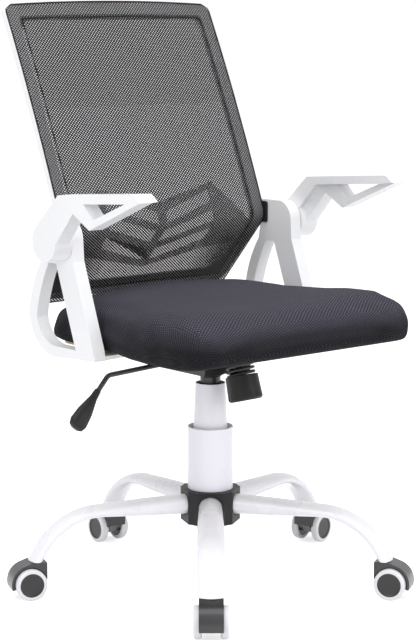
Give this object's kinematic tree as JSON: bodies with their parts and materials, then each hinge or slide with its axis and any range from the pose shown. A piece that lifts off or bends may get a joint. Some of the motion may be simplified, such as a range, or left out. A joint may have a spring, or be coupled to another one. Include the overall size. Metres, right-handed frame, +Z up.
{
  "type": "office chair",
  "caption": "Swivel task chair with mesh back, padded seat, flip-up arms, bent-tube star base, casters, gas lift and tilt mechanism.",
  "frame": {"origin": "on the column axis at the floor", "axes": "+Z up, -Y the way the sitter faces, +X to the sitter's left"},
  "size_m": [0.6451, 0.6275, 0.933],
  "materials": {
    "white_steel": "gloss",
    "white_plastic": "satin",
    "black_plastic": "satin",
    "grey_plastic": "satin",
    "caster_plastic": "satin",
    "wheel_hub": "satin",
    "white_tread": "satin",
    "bare_steel": "satin",
    "black_steel": "satin",
    "bush_plastic": "matt",
    "plywood": "matt",
    "seat_fabric": "woven",
    "back_mesh": "open weave"
  },
  "bodies": {
    "base": {"star_base": "white_steel", "hub_cover": "black_plastic", "lift_outer_tube": "bare_steel", "lower_dust_cover": "white_plastic", "guide_bush": "bush_plastic", "thrust_bearing": "bare_steel", "caster_stems": "bare_steel"},
    "piston": {"piston_rod": "bare_steel", "retaining_clip": "bare_steel"},
    "mechanism": {"gas_cylinder": "black_steel", "upper_dust_cover": "white_plastic", "mechanism_housing": "black_steel", "tilt_axle": "bare_steel"},
    "lever_socket": {"lever_bush": "bush_plastic"},
    "lever": {"lever_rod": "black_steel", "lever_grip": "black_plastic"},
    "seat": {"seat_plate": "black_steel", "tension_bolt": "black_steel", "seat_board": "plywood", "seat_cushion": "seat_fabric", "seat_screws": "bare_steel", "side_bracket_left": "white_plastic", "side_bracket_right": "white_plastic", "back_frame": "white_plastic", "back_mesh": "back_mesh", "lumbar_support": "grey_plastic", "arm_pivot_pins": "bare_steel", "back_spacers": "black_plastic", "tension_spring": "black_steel"},
    "tension_nut": {"tension_washer": "black_steel"},
    "knob": {"tension_knob": "black_plastic"},
    "arm_left": {"armrest_left": "white_plastic"},
    "arm_right": {"armrest_right": "white_plastic"},
    "caster_1": {"caster_1_hood": "caster_plastic"},
    "caster_1_wheel_left": {"caster_1_tread_left": "white_tread", "caster_1_hub_left": "wheel_hub"},
    "caster_1_wheel_right": {"caster_1_tread_right": "white_tread", "caster_1_hub_right": "wheel_hub"},
    "caster_2": {"caster_2_hood": "caster_plastic"},
    "caster_2_wheel_left": {"caster_2_tread_left": "white_tread", "caster_2_hub_left": "wheel_hub"},
    "caster_2_wheel_right": {"caster_2_tread_right": "white_tread", "caster_2_hub_right": "wheel_hub"},
    "caster_3": {"caster_3_hood": "caster_plastic"},
    "caster_3_wheel_left": {"caster_3_tread_left": "white_tread", "caster_3_hub_left": "wheel_hub"},
    "caster_3_wheel_right": {"caster_3_tread_right": "white_tread", "caster_3_hub_right": "wheel_hub"},
    "caster_4": {"caster_4_hood": "caster_plastic"},
    "caster_4_wheel_left": {"caster_4_tread_left": "white_tread", "caster_4_hub_left": "wheel_hub"},
    "caster_4_wheel_right": {"caster_4_tread_right": "white_tread", "caster_4_hub_right": "wheel_hub"},
    "caster_5": {"caster_5_hood": "caster_plastic"},
    "caster_5_wheel_left": {"caster_5_tread_left": "white_tread", "caster_5_hub_left": "wheel_hub"},
    "caster_5_wheel_right": {"caster_5_tread_right": "white_tread", "caster_5_hub_right": "wheel_hub"}
  },
  "joints": [
    {"name": "seat_swivel", "type": "hinge", "parent": "base", "child": "piston", "pos_m": [0, 0, 0.1], "axis": [0, 0, 1], "continuous": true},
    {"name": "gas_lift", "type": "slide", "parent": "piston", "child": "mechanism", "axis": [0, 0, 1], "range_m": [-0.06, 0.015]},
    {"name": "lever_lift", "type": "hinge", "parent": "mechanism", "child": "lever_socket", "pos_m": [-0.0465, 0.038, 0.361], "axis": [0, 1, 0], "range_deg": [0, 6], "stiffness_Nm_per_rad": 3, "springref_deg": -6.88},
    {"name": "lever_pull", "type": "slide", "parent": "lever_socket", "child": "lever", "axis": [-0.9989, 0, -0.0459], "range_m": [0, 0.012]},
    {"name": "seat_tilt", "type": "hinge", "parent": "mechanism", "child": "seat", "pos_m": [0, 0.02, 0.372], "axis": [-1, 0, 0], "range_deg": [0, 12], "stiffness_Nm_per_rad": 60, "springref_deg": -25.78, "deforming": ["tension_spring"]},
    {"name": "tension_travel", "type": "slide", "parent": "seat", "child": "tension_nut", "axis": [0, -0.2756, -0.9613], "range_m": [0, 0.00601]},
    {"name": "tension_turn", "type": "hinge", "parent": "tension_nut", "child": "knob", "pos_m": [0, -0.0684, 0.376], "axis": [0, -0.2756, -0.9613], "range_deg": [0, 1440]},
    {"name": "arm_flip_left", "type": "hinge", "parent": "seat", "child": "arm_left", "pos_m": [0.256, 0.072, 0.568], "axis": [-1, 0, 0], "range_deg": [0, 90]},
    {"name": "arm_flip_right", "type": "hinge", "parent": "seat", "child": "arm_right", "pos_m": [-0.256, 0.072, 0.568], "axis": [-1, 0, 0], "range_deg": [0, 90]},
    {"name": "caster_1_swivel", "type": "hinge", "parent": "base", "child": "caster_1", "pos_m": [-0.18641, -0.22215, 0.05], "axis": [0, 0, 1], "continuous": true},
    {"name": "caster_1_spin_left", "type": "hinge", "parent": "caster_1", "child": "caster_1_wheel_left", "pos_m": [-0.19476, -0.23211, 0.025], "axis": [0.766, -0.6428, 0], "continuous": true},
    {"name": "caster_1_spin_right", "type": "hinge", "parent": "caster_1", "child": "caster_1_wheel_right", "pos_m": [-0.19476, -0.23211, 0.025], "axis": [0.766, -0.6428, 0], "continuous": true},
    {"name": "caster_2_swivel", "type": "hinge", "parent": "base", "child": "caster_2", "pos_m": [0.15368, -0.24593, 0.05], "axis": [0, 0, 1], "continuous": true},
    {"name": "caster_2_spin_left", "type": "hinge", "parent": "caster_2", "child": "caster_2_wheel_left", "pos_m": [0.16057, -0.25696, 0.025], "axis": [0.848, 0.5299, 0], "continuous": true},
    {"name": "caster_2_spin_right", "type": "hinge", "parent": "caster_2", "child": "caster_2_wheel_right", "pos_m": [0.16057, -0.25696, 0.025], "axis": [0.848, 0.5299, 0], "continuous": true},
    {"name": "caster_3_swivel", "type": "hinge", "parent": "base", "child": "caster_3", "pos_m": [0.28139, 0.07016, 0.05], "axis": [0, 0, 1], "continuous": true},
    {"name": "caster_3_spin_left", "type": "hinge", "parent": "caster_3", "child": "caster_3_wheel_left", "pos_m": [0.294, 0.0733, 0.025], "axis": [-0.2419, 0.9703, 0], "continuous": true},
    {"name": "caster_3_spin_right", "type": "hinge", "parent": "caster_3", "child": "caster_3_wheel_right", "pos_m": [0.294, 0.0733, 0.025], "axis": [-0.2419, 0.9703, 0], "continuous": true},
    {"name": "caster_4_swivel", "type": "hinge", "parent": "base", "child": "caster_4", "pos_m": [0.02023, 0.28929, 0.05], "axis": [0, 0, 1], "continuous": true},
    {"name": "caster_4_spin_left", "type": "hinge", "parent": "caster_4", "child": "caster_4_wheel_left", "pos_m": [0.02114, 0.30226, 0.025], "axis": [-0.9976, 0.0698, 0], "continuous": true},
    {"name": "caster_4_spin_right", "type": "hinge", "parent": "caster_4", "child": "caster_4_wheel_right", "pos_m": [0.02114, 0.30226, 0.025], "axis": [-0.9976, 0.0698, 0], "continuous": true},
    {"name": "caster_5_swivel", "type": "hinge", "parent": "base", "child": "caster_5", "pos_m": [-0.26888, 0.10864, 0.05], "axis": [0, 0, 1], "continuous": true},
    {"name": "caster_5_spin_left", "type": "hinge", "parent": "caster_5", "child": "caster_5_wheel_left", "pos_m": [-0.28094, 0.11351, 0.025], "axis": [-0.3746, -0.9272, 0], "continuous": true},
    {"name": "caster_5_spin_right", "type": "hinge", "parent": "caster_5", "child": "caster_5_wheel_right", "pos_m": [-0.28094, 0.11351, 0.025], "axis": [-0.3746, -0.9272, 0], "continuous": true}
  ],
  "couplings": [
    {"joint": "tension_travel", "follows": "tension_turn", "m_per_rad": 0.00023873}
  ]
}
